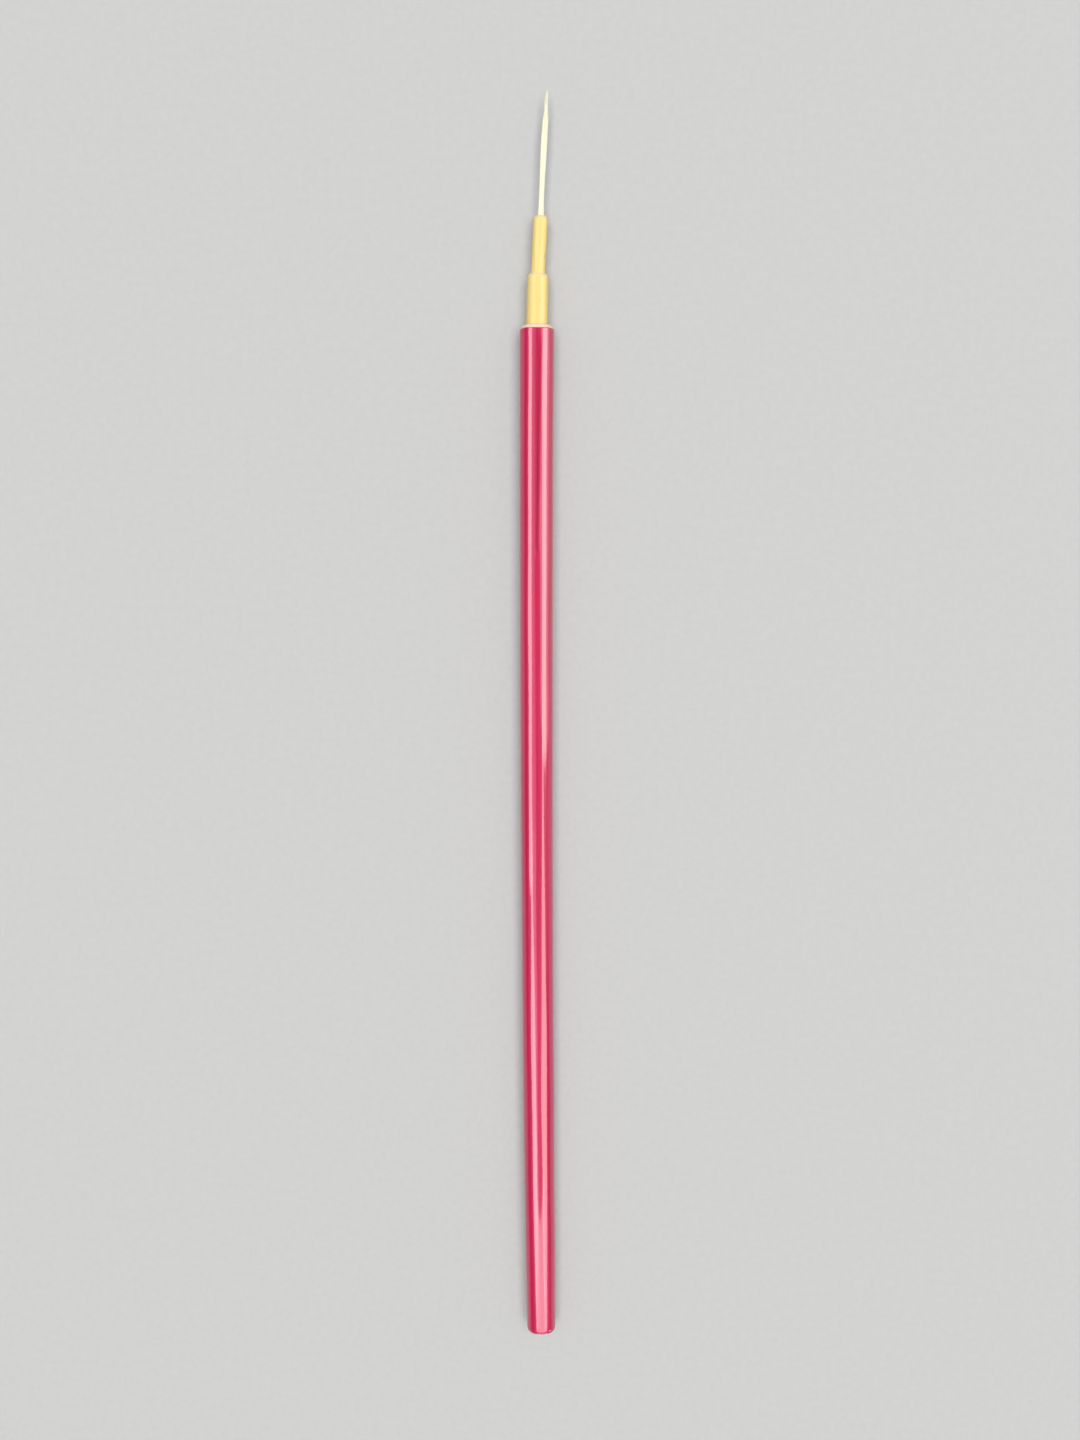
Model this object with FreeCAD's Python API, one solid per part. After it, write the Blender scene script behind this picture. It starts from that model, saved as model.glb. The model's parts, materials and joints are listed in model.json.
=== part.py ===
import FreeCAD, Part
import math
import os
from FreeCAD import Placement, Rotation, Vector

# Fine-line lacquer brush, lying on a flat surface.
#
# A lacquered bamboo handle holds a bare bamboo middle tube, which holds a thinner
# small tube, which holds the tuft of hair. Each tube is a push fit that pulls out
# towards the tip. The tuft bends all along, so it is built as five lengths: one inside
# the small tube and four outside it, with a pivot before each of the four.
#
# Frame: millimetres, +Z up, +Y towards the tuft's tip, z = 0 is the surface that
# the handle lies on. The origin is under the middle of the whole brush.

# ---------------------------------------------------------------- driving sizes
# handle
HANDLE_LENGTH = 177.0
MOUTH_DIAMETER = 5.8        # over the lacquer, at the tuft's end
BUTT_DIAMETER = 5.15        # over the lacquer, at the far end
BUTT_TAPER_LENGTH = 38.0    # the stretch that narrows to the butt
BUTT_TAPER_DROP = 0.17      # radius lost along that stretch alone
HANDLE_BOW = 0.38           # how far the culm bows sideways at mid length
HANDLE_STATIONS = 9         # cross-sections that the culm is drawn through
LACQUER = 0.08              # thickness of the coat
BUTT_ROUNDING = 0.6         # edge radius over the lacquer
BARE_BAND_LENGTH = 0.55     # the mouth's cut edge, where the coat stops
BARE_BAND_DROP = 0.26       # radius lost along that edge
HANDLE_LEDGE = 0.26         # the socket's bottom, where the middle tube seats
BUTT_PLUG_LENGTH = 7.0

# middle tube
MIDDLE_DIAMETER = 3.65
MIDDLE_SHOWN = 8.4          # length outside the handle
MIDDLE_HELD = 12.0          # length inside the handle
SHOULDER_WIDTH = 0.2        # how much the held length is pared down, on the radius
MIDDLE_LEAN = 1.45          # degrees from the handle's line, towards +X
MIDDLE_LEDGE = 0.26         # the socket's bottom, where the small tube seats

# small tube
SMALL_MOUTH_DIAMETER = 2.5
SMALL_TAPER = 0.0055        # radius lost per millimetre away from its mouth
SMALL_SHOWN = 9.4           # length outside the middle tube
SMALL_HELD = 8.0            # length inside the middle tube
SMALL_LEAN = 1.7            # degrees from the middle tube's axis, towards +X
SMALL_BORE_DIAMETER = 1.24

# cut mouths of both tubes
MOUTH_CUT_LENGTH = 0.42
MOUTH_CUT_DROP = 0.26
INNER_CUT = 0.15            # bevel on the end that enters a socket

# push fits
FIT_GAP = 0.02              # radial clearance of a tube in its socket
SEAT_GAP = 0.05             # between a tube's end and the ledge below it
SHOULDER_GAP = 0.08         # between the middle tube's shoulder and the handle's mouth
PLUG_GAP = 0.01             # radial, for the glued butt plug

# tuft: distances are from the small tube's mouth, towards the tip
TUFT_LENGTH = 20.2
TUFT_HELD = 5.6             # length of hair inside the small tube
ROOT_RADIUS = 0.50
WAIST_AT, WAIST_RADIUS = 6.5, 0.45
BELLY_AT, BELLY_RADIUS = 12.0, 0.52
COAT_END_AT, COAT_END_RADIUS = 16.7, 0.33   # the outer hairs are the shorter ones
TIP_RADIUS = 0.07
CORE_SHARE = 0.62           # of the tuft's radius, filled by the long core hairs
COAT_END_THICKNESS = 0.03
FIRST_PIVOT_AT = 1.5
PIVOT_SPACING = 4.4
PIVOT_GAP = 0.06            # between two lengths of the tuft at a pivot
SPANS = ("root", "lower", "waist", "belly", "tip")

# what ties and seals the hair's root
THREAD_DIAMETER = 0.1
THREAD_TURNS = 5
THREAD_PITCH = 0.12
THREAD_FROM_END = 0.5       # from the root's end to the first turn
THREAD_SIDES = 12           # flats round the thread
SEAL_THICKNESS = 0.4
GLUE_BELOW_MOUTH = 0.3
GLUE_LENGTH = 3.2

# ---------------------------------------------------------------- worked-out sizes
MOUTH_RADIUS = MOUTH_DIAMETER / 2
BUTT_RADIUS = BUTT_DIAMETER / 2
MIDDLE_RADIUS = MIDDLE_DIAMETER / 2
SPIGOT_RADIUS = MIDDLE_RADIUS - SHOULDER_WIDTH
SMALL_MOUTH_RADIUS = SMALL_MOUTH_DIAMETER / 2
SMALL_SEAT_RADIUS = SMALL_MOUTH_RADIUS - SMALL_TAPER * SMALL_SHOWN
SMALL_END_RADIUS = SMALL_SEAT_RADIUS - SMALL_TAPER * SMALL_HELD
SMALL_BORE_RADIUS = SMALL_BORE_DIAMETER / 2

HANDLE_SOCKET_RADIUS = SPIGOT_RADIUS + FIT_GAP
HANDLE_SOCKET_DEPTH = MIDDLE_HELD + SEAT_GAP
HANDLE_HOLLOW_RADIUS = HANDLE_SOCKET_RADIUS - HANDLE_LEDGE
MIDDLE_SOCKET_RADIUS = SMALL_SEAT_RADIUS + FIT_GAP
MIDDLE_SOCKET_DEPTH = SMALL_HELD + SEAT_GAP
MIDDLE_HOLLOW_RADIUS = MIDDLE_SOCKET_RADIUS - MIDDLE_LEDGE

PIVOTS_AT = [FIRST_PIVOT_AT + PIVOT_SPACING * i for i in range(len(SPANS) - 1)]

ALONG = Vector(0, 1, 0)
CUT_MARGIN = 1.0            # how far a cutting tool runs past the face it opens


# ---------------------------------------------------------------- frames
def leaning(distance, degrees):
    """A frame that far along +Y, turned towards +X."""
    return Placement(Vector(0, distance, 0), Rotation(Vector(0, 0, 1), -degrees))


def handle_radius(from_butt):
    """Outer radius of the lacquered handle."""
    straight = BUTT_RADIUS + BUTT_TAPER_DROP
    radius = straight + (MOUTH_RADIUS - straight) * from_butt / HANDLE_LENGTH
    if from_butt < BUTT_TAPER_LENGTH:
        radius -= BUTT_TAPER_DROP * (1 - from_butt / BUTT_TAPER_LENGTH) ** 2
    return radius


def handle_bow(from_butt):
    """How far the culm's axis is to the -X side of the line between its two ends."""
    share = from_butt / HANDLE_LENGTH
    return HANDLE_BOW * 4 * share * (1 - share)


def centring_offset():
    """The +X shift that puts the handle's widest reach evenly about x = 0."""
    steps = [HANDLE_LENGTH * i / 200 for i in range(201)]
    right = max(handle_radius(s) - handle_bow(s) for s in steps)
    left = max(handle_radius(s) + handle_bow(s) for s in steps)
    return (left - right) / 2


IN_MIDDLE = leaning(0, MIDDLE_LEAN)
IN_SMALL = IN_MIDDLE * leaning(MIDDLE_SHOWN, SMALL_LEAN)
IN_TUFT = IN_SMALL * leaning(SMALL_SHOWN, 0)
REACH_PAST_MOUTH = IN_TUFT.multVec(Vector(0, TUFT_LENGTH, 0)).y
OVERALL_LENGTH = HANDLE_LENGTH + REACH_PAST_MOUTH
BUTT_Y = -OVERALL_LENGTH / 2
SIDE_OFFSET = centring_offset()

MOUTH = Placement(Vector(SIDE_OFFSET, BUTT_Y + HANDLE_LENGTH, MOUTH_RADIUS), Rotation())
MIDDLE_FRAME = MOUTH * IN_MIDDLE
SMALL_FRAME = MOUTH * IN_SMALL
TUFT_FRAME = MOUTH * IN_TUFT


# ---------------------------------------------------------------- building blocks
def placed(shape, frame):
    moved = shape.copy()
    moved.Placement = frame
    return moved


def turned(edges):
    """A solid of revolution about the Y axis from a closed outline of edges, x being the radius."""
    outline = Part.Face(Part.Wire(Part.__sortEdges__(edges)))
    return outline.revolve(Vector(0, 0, 0), ALONG, 360)


def straight_edges(points):
    """Edges through (radius, distance) points, in order."""
    corners = [Vector(r, y, 0) for r, y in points]
    return [Part.LineSegment(a, b).toShape() for a, b in zip(corners, corners[1:])]


def turned_polygon(points):
    return turned(straight_edges([*points, points[0]]))


def curve_edge(points):
    """One smooth edge through (radius, distance) points."""
    curve = Part.BSplineCurve()
    curve.interpolate([Vector(r, y, 0) for r, y in points])
    return curve.toShape()


def rod(radius, start, end):
    """A round bar along +Y between two distances."""
    return Part.makeCylinder(radius, end - start, Vector(0, start, 0), ALONG)


def culm(inset, start, end):
    """The handle's bowed and tapered round, set in from its outer surface, between two distances
    from the butt. Each cross-section stands upright. The outer surface touches z = 0 all along, so
    the handle lies flush.
    """
    sections = []
    for i in range(HANDLE_STATIONS):
        s = start + (end - start) * i / (HANDLE_STATIONS - 1)
        centre = Vector(SIDE_OFFSET - handle_bow(s), BUTT_Y + s, handle_radius(s))
        circle = Part.Circle(centre, ALONG, inset(s))
        sections.append(Part.Wire(circle.toShape()))
    return Part.makeLoft(sections, True, False)


def rounded_butt(shape, radius):
    """The edge round the face nearest the butt, rounded."""
    lowest = shape.BoundBox.YMin
    rim = [e for e in shape.Edges if e.BoundBox.YMax - lowest < 1e-6]
    return shape.makeFillet(radius, rim)


# ---------------------------------------------------------------- handle
COAT_LENGTH = HANDLE_LENGTH - BARE_BAND_LENGTH


def handle_blank():
    """The bare culm before it is bored: rounded at the butt and cut to a cone at the mouth."""
    def bare(s):
        return handle_radius(s) - LACQUER

    body = rounded_butt(culm(bare, LACQUER, COAT_LENGTH), BUTT_ROUNDING - LACQUER)
    centre = Vector(SIDE_OFFSET - handle_bow(COAT_LENGTH), BUTT_Y + COAT_LENGTH, handle_radius(COAT_LENGTH))
    wide = bare(COAT_LENGTH)
    band = Part.makeCone(wide, wide - BARE_BAND_DROP, BARE_BAND_LENGTH, centre, ALONG)
    return body.fuse(band).removeSplitter()


def hollow(start, end, gap=0.0):
    """The culm's own hollow, along the culm's axis."""
    return culm(lambda s: HANDLE_HOLLOW_RADIUS - gap, start, end)


def handle_parts():
    blank = handle_blank()
    coat = rounded_butt(culm(handle_radius, 0, COAT_LENGTH), BUTT_ROUNDING).cut(blank)
    socket = placed(rod(HANDLE_SOCKET_RADIUS, -HANDLE_SOCKET_DEPTH, CUT_MARGIN), MIDDLE_FRAME)
    bore = hollow(LACQUER, HANDLE_LENGTH - HANDLE_SOCKET_DEPTH + SEAT_GAP)
    return {
        "handle_culm": blank.cut(bore).cut(socket),
        "lacquer_coat": coat,
        "butt_plug": hollow(LACQUER, LACQUER + BUTT_PLUG_LENGTH, PLUG_GAP),
    }


# ---------------------------------------------------------------- tubes
def middle_tube():
    """A pared spigot that enters the handle, a shoulder just outside it, and a cone cut at its mouth."""
    outside = turned_polygon([
        (0, -MIDDLE_HELD),
        (SPIGOT_RADIUS - INNER_CUT, -MIDDLE_HELD),
        (SPIGOT_RADIUS, -MIDDLE_HELD + INNER_CUT),
        (SPIGOT_RADIUS, SHOULDER_GAP),
        (MIDDLE_RADIUS, SHOULDER_GAP),
        (MIDDLE_RADIUS, MIDDLE_SHOWN - MOUTH_CUT_LENGTH),
        (MIDDLE_RADIUS - MOUTH_CUT_DROP, MIDDLE_SHOWN),
        (0, MIDDLE_SHOWN),
    ])
    through = rod(MIDDLE_HOLLOW_RADIUS, -MIDDLE_HELD - CUT_MARGIN, MIDDLE_SHOWN)
    socket = rod(MIDDLE_SOCKET_RADIUS, -MIDDLE_SOCKET_DEPTH, CUT_MARGIN)
    socket_in_tube = placed(socket, leaning(MIDDLE_SHOWN, SMALL_LEAN))
    return placed(outside.cut(through).cut(socket_in_tube), MIDDLE_FRAME)


def small_tube():
    """Slightly tapered all along, so that it grips its socket, and cut to a cone at its mouth."""
    outside = turned_polygon([
        (0, -SMALL_HELD),
        (SMALL_END_RADIUS - INNER_CUT, -SMALL_HELD),
        (SMALL_END_RADIUS + SMALL_TAPER * INNER_CUT, -SMALL_HELD + INNER_CUT),
        (SMALL_MOUTH_RADIUS - SMALL_TAPER * MOUTH_CUT_LENGTH, SMALL_SHOWN - MOUTH_CUT_LENGTH),
        (SMALL_MOUTH_RADIUS - MOUTH_CUT_DROP, SMALL_SHOWN),
        (0, SMALL_SHOWN),
    ])
    bore = rod(SMALL_BORE_RADIUS, -SMALL_HELD - CUT_MARGIN, SMALL_SHOWN + CUT_MARGIN)
    return placed(outside.cut(bore), SMALL_FRAME)


# ---------------------------------------------------------------- tuft
def tuft_bundle():
    """The whole bundle up to the outer hairs' ends."""
    side = curve_edge([
        (ROOT_RADIUS, 0),
        (WAIST_RADIUS, WAIST_AT),
        (BELLY_RADIUS, BELLY_AT),
        (COAT_END_RADIUS, COAT_END_AT),
    ])
    rest = straight_edges([
        (COAT_END_RADIUS, COAT_END_AT),
        (0, COAT_END_AT),
        (0, -TUFT_HELD),
        (ROOT_RADIUS, -TUFT_HELD),
        (ROOT_RADIUS, 0),
    ])
    return turned([side, *rest])


def core_bundle():
    """The long hairs in the middle of the bundle, which alone reach the tip."""
    side = curve_edge([
        (ROOT_RADIUS * CORE_SHARE, 0),
        (WAIST_RADIUS * CORE_SHARE, WAIST_AT),
        (BELLY_RADIUS * CORE_SHARE, BELLY_AT),
        (COAT_END_RADIUS - COAT_END_THICKNESS, COAT_END_AT),
        (TIP_RADIUS, TUFT_LENGTH),
    ])
    rest = straight_edges([
        (TIP_RADIUS, TUFT_LENGTH),
        (0, TUFT_LENGTH),
        (0, -TUFT_HELD),
        (ROOT_RADIUS * CORE_SHARE, -TUFT_HELD),
        (ROOT_RADIUS * CORE_SHARE, 0),
    ])
    return turned([side, *rest])


def radius_at(shape, distance):
    """Radius of a turned solid at that distance along Y."""
    slice_wire = shape.slice(ALONG, distance)[0]
    return slice_wire.BoundBox.XMax


def tuft_parts():
    """Core and coat hairs, length by length. A moving length starts in a half ball about its pivot."""
    whole = tuft_bundle()
    core = core_bundle()
    coat = whole.cut(core)
    starts = [-TUFT_HELD, *PIVOTS_AT]
    ends = [at - radius_at(whole, at) - PIVOT_GAP for at in PIVOTS_AT] + [TUFT_LENGTH]
    parts = {}
    for name, start, end in zip(SPANS, starts, ends):
        stretch = rod(MOUTH_RADIUS, start, end)
        core_length = core.common(stretch)
        coat_length = coat.common(stretch)
        if start in PIVOTS_AT:
            ball_radius = radius_at(whole, start)
            half_ball = Part.makeSphere(ball_radius, Vector(0, start, 0), ALONG, -90, 0)
            core_in_ball = rod(radius_at(core, start), start - MOUTH_RADIUS, start)
            core_length = core_length.fuse(half_ball.common(core_in_ball)).removeSplitter()
            coat_length = coat_length.fuse(half_ball.cut(core_in_ball)).removeSplitter()
        parts[f"core_hairs_{name}"] = placed(core_length, TUFT_FRAME)
        parts[f"coat_hairs_{name}"] = placed(coat_length, TUFT_FRAME)
    return parts


# ---------------------------------------------------------------- what holds the hair's root
def binding_thread():
    """Thread wound tightly round the root."""
    thread_radius = THREAD_DIAMETER / 2
    coil_radius = ROOT_RADIUS + thread_radius
    path = Part.makeHelix(THREAD_PITCH, THREAD_PITCH * THREAD_TURNS, coil_radius)
    turns = [2 * math.pi * i / THREAD_SIDES for i in range(THREAD_SIDES + 1)]
    spokes = [Vector(math.cos(a), 0, math.sin(a)) for a in turns]
    corners = [Vector(coil_radius, 0, 0) + spoke * thread_radius for spoke in spokes]
    coil = Part.Wire(path.Edges).makePipeShell([Part.makePolygon(corners)], True, True)
    upright_to_along = Rotation(Vector(1, 0, 0), -90)
    at = Vector(0, -TUFT_HELD + THREAD_FROM_END, 0)
    return placed(coil, TUFT_FRAME * Placement(at, upright_to_along))


def root_seal():
    """The singed, resin-soaked end of the root, a shallow dome."""
    top = -TUFT_HELD
    low = top - SEAL_THICKNESS
    dome_radius = (ROOT_RADIUS ** 2 + SEAL_THICKNESS ** 2) / (2 * SEAL_THICKNESS)
    ball = Part.makeSphere(dome_radius, Vector(0, low + dome_radius, 0))
    return placed(ball.common(rod(MOUTH_RADIUS, low - CUT_MARGIN, top)), TUFT_FRAME)


def root_glue():
    """Glue between the root and the small tube's bore."""
    top = -GLUE_BELOW_MOUTH
    ring = rod(SMALL_BORE_RADIUS, top - GLUE_LENGTH, top).cut(rod(ROOT_RADIUS, -TUFT_HELD, 0))
    return placed(ring, TUFT_FRAME)


# ---------------------------------------------------------------- all nodes
def all_parts():
    parts = handle_parts()
    parts["middle_tube"] = middle_tube()
    parts["small_tube"] = small_tube()
    parts.update(tuft_parts())
    parts["binding_thread"] = binding_thread()
    parts["root_seal"] = root_seal()
    parts["root_glue"] = root_glue()
    return parts


os.makedirs("parts", exist_ok=True)
for node, solid in all_parts().items():
    solid.exportStep(f"parts/{node}.step")
    box = solid.BoundBox
    print(f"{node:18s} volume {solid.Volume:10.3f}  valid {solid.isValid()}  solids {len(solid.Solids)}"
          f"  y {box.YMin:8.3f} to {box.YMax:8.3f}")
print(f"overall length {OVERALL_LENGTH:.3f}, side offset {SIDE_OFFSET:.3f}")
for name, frame in (("middle tube mouth", MIDDLE_FRAME * leaning(MIDDLE_SHOWN, 0)), ("tuft", TUFT_FRAME)):
    forward = frame.Rotation.multVec(ALONG)
    print(name, [round(v, 5) for v in frame.Base], "axis", [round(v, 6) for v in forward])
for at in PIVOTS_AT:
    print("pivot", [round(v, 5) for v in TUFT_FRAME.multVec(Vector(0, at, 0))])
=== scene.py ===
import json
import math
import random

import bmesh
import bpy
import numpy as np
from mathutils import Matrix, Vector
from mathutils.bvhtree import BVHTree


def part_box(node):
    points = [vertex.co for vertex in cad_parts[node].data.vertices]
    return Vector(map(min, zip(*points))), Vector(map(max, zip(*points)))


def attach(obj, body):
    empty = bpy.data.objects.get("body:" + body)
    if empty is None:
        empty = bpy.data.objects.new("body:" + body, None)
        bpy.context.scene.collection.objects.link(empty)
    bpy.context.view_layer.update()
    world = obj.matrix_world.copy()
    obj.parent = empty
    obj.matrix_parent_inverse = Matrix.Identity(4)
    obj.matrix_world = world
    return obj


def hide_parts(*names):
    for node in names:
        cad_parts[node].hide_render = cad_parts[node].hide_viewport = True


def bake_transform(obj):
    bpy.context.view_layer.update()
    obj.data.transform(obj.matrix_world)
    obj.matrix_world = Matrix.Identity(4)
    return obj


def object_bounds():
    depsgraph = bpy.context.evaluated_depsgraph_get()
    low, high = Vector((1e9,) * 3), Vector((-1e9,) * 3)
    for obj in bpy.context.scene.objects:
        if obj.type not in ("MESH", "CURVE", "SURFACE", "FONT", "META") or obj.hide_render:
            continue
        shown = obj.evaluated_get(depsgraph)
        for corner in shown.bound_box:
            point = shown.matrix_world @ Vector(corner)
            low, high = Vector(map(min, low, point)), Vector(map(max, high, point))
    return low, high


# The looks of a fine line brush: a crimson lacquered bamboo handle, two bare bamboo
# tubes stepped down from it, and a long thin tuft made hair by hair.
#
# Every piece is grown ring by ring in its own straight frame, +Y along its axis, and is
# measured from the CAD node that it replaces. Each point keeps its straight place in the
# attribute "grain", which the materials read, so fibres and streaks follow the piece.

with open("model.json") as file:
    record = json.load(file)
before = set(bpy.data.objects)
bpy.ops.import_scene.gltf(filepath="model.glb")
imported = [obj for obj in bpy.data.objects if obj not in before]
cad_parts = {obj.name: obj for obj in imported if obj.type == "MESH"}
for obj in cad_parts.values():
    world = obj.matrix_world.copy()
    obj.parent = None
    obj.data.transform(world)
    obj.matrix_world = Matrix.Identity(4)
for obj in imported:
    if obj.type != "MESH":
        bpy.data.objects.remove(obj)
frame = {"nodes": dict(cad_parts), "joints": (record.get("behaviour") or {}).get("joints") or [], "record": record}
cad_low, cad_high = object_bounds()

MM = 0.001

# ---------------------------------------------------------------- sizes: handle and tubes
HANDLE_SIDES = 128
HANDLE_STEP = 0.4 * MM            # between rings along the handle
END_STEP = 0.03 * MM              # between rings on the rounded butt
END_LENGTH = 0.9 * MM             # the stretch at the butt that is measured that finely
COAT = 0.08 * MM                  # thickness of the lacquer
COAT_OVERLAP = 0.02 * MM          # how much deeper than that the shell goes
CULM_GAP = 0.05 * MM              # how much deeper than the coat the culm's side lies
COAT_EDGE_WAVE = 0.05 * MM        # how unevenly the lacquer stops at the mouth
WAVE_REACH = 0.18                 # the length that the slow waves in the lacquer are spread over
SETTLE_LENGTH = 4 * MM            # the stretch at the butt where those waves set in
FURROW_START = 1.0 * MM           # the furrow's two ends, measured back from the mouth
FURROW_STOP = 37.6 * MM
SCAR_SIZE = 0.20 * MM             # the bud scar at the furrow's end
CHIP_TURN = math.radians(52)      # where the butt's rim is chipped, from +X towards +Z
CHIP_DEPTH = 0.10 * MM
NIB_TURN = math.radians(146)      # a speck under the lacquer, measured likewise
NIB_AT = 60.5 * MM                # and how far back from the mouth it is
NIB_HEIGHT = 0.05 * MM
TUBE_SIDES = 72
TUBE_STEP = 0.12 * MM
MOUTH_CUT = 0.42 * MM             # the bevelled length at a tube's mouth
SKIN_BLEND = 0.5 * MM             # over which a tube's held length turns into its shown one

# ---------------------------------------------------------------- sizes: tuft
HAIRS = 190
HAIR_SIDES = 6
HAIR_STEP = 0.34 * MM
HAIR_FILL = 1.5                   # how thick the hairs are beside an even share of the bundle
CORE_SHARE = 0.62                 # of the tuft's radius
GOLDEN_TURN = math.pi * (3 - math.sqrt(5))
FULL_TURN = 6.28                  # near enough, for random phases and waves
CUT_MARGIN = 0.02 * MM            # a hair's own rings keep this far from the cut between pieces

# ---------------------------------------------------------------- sizes: stage and camera
FLOOR_HALF = 4.0
LIGHT_HEIGHT = 0.5
SOFTBOX_AT = (0.15, 0.3, 3.0)
SOFTBOX_SIDE = 2.7
SOFTBOX_RADIANCE = 5.7
WORLD_RADIANCE = 0.40
WHITE = (1.0, 1.0, 1.0)
COOL = (1.0, 0.96, 1.0)
WARM = (1.0, 0.97, 0.94)
LENS = 34.25
CAMERA_ASIDE = 0.50 * MM
CAMERA_ALONG = 0.1317             # of the brush's length, from its middle towards the tuft
CAMERA_ABOVE = 1.093              # of the brush's length, above the handle's axis
CAMERA_TILT = math.radians(-6.08)
CAMERA_TURN = math.radians(-0.246)


# ---------------------------------------------------------------- measuring the frame
joints = {j["name"]: j for j in frame["joints"]}
mounts = {m["name"]: m for m in frame["record"]["mounts"]}


def surface(node):
    """A CAD node's surface, ready for rays."""
    mesh = frame["nodes"][node].data
    return BVHTree.FromPolygons([v.co for v in mesh.vertices], [p.vertices for p in mesh.polygons])


def axis_frame(point, axis):
    """A frame at a point, with +Y along the axis and +Z as near to up as it can be."""
    y = Vector(axis).normalized()
    x = y.cross(Vector((0, 0, 1))).normalized()
    turn = Matrix((x, y, x.cross(y))).transposed()
    return Matrix.Translation(Vector(point)) @ turn.to_4x4()


def extent(node, place):
    """The lowest and highest reach of a CAD node along a frame's own Y."""
    inverse = place.inverted()
    along = [(inverse @ v.co).y for v in frame["nodes"][node].data.vertices]
    return min(along), max(along)


def radius_of(tree, place, along, inside=False, rays=24, reach=0.02):
    """The radius of a CAD surface about a frame's Y axis, met from outside or from the axis."""
    best = 0.0
    for i in range(rays):
        angle = 2 * math.pi * (i + 0.37) / rays
        out = Vector((math.cos(angle), 0, math.sin(angle)))
        start = Vector((0, along, 0)) + (out * 0 if inside else out * reach)
        aim = out if inside else -out
        hit = tree.ray_cast(place @ start, place.to_3x3() @ aim, reach)[0]
        if hit is not None:
            local = place.inverted() @ hit
            best = max(best, math.hypot(local.x, local.z))
    return best


coat_low, coat_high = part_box("lacquer_coat")
culm_low, culm_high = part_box("handle_culm")
MOUTH_Y = culm_high.y
seat = mounts["cap_seat"]
seat_axis = Vector(seat["axis"])
to_mouth = (MOUTH_Y - seat["pos_m"][1]) / seat_axis.y
MIDDLE = axis_frame(Vector(seat["pos_m"]) + seat_axis * to_mouth, seat_axis)
first_pivot = axis_frame(joints["tuft_sway_lower"]["pos_m"], joints["tuft_pull"]["axis"])
TUFT = first_pivot @ Matrix.Translation((0, extent("small_tube", first_pivot)[1], 0))
BENDS = [(TUFT.inverted() @ Vector(j["pos_m"])).y for j in frame["joints"] if j["type"] == "hinge"]


class Handle:
    """The handle's bowed axis and its radius, as functions of Y, fitted to the lacquer's surface."""

    def __init__(self):
        tree = surface("lacquer_coat")
        stations = np.linspace(coat_low.y + END_LENGTH, coat_high.y - END_LENGTH, 90)
        middles = []
        radii = []
        for y in stations:
            top = tree.ray_cast(Vector((0, y, 0.02)), Vector((0, 0, -1)))[0].z
            left = tree.ray_cast(Vector((-0.02, y, top / 2)), Vector((1, 0, 0)))[0].x
            right = tree.ray_cast(Vector((0.02, y, top / 2)), Vector((-1, 0, 0)))[0].x
            middles.append((left + right) / 2)
            radii.append((right - left) / 2)
        fit = np.polynomial.Polynomial.fit
        self.middle = fit(stations, middles, 2)
        self.radius = fit(stations, radii, 6)

    def place(self, y):
        """A frame on the axis at that Y, square to the world."""
        return Matrix.Translation((self.middle(y), y, self.radius(y)))


handle = Handle()


# ---------------------------------------------------------------- growing a mesh
def ripple(seed, size, turns, waves, length):
    """A small smooth unevenness over (angle, along), the same on each run."""
    draw = random.Random(seed)
    terms = []
    for _ in range(7):
        turn, wave = draw.randint(*turns), draw.uniform(*waves)
        terms.append((turn, wave, draw.uniform(0, FULL_TURN), draw.uniform(0, FULL_TURN)))

    def at(angle, along):
        total = 0.0
        for turn, wave, p, q in terms:
            total = total + np.sin(turn * angle + p) * np.cos(FULL_TURN * wave * along / length + q)
        return size * total / len(terms) ** 0.5
    return at


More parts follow.
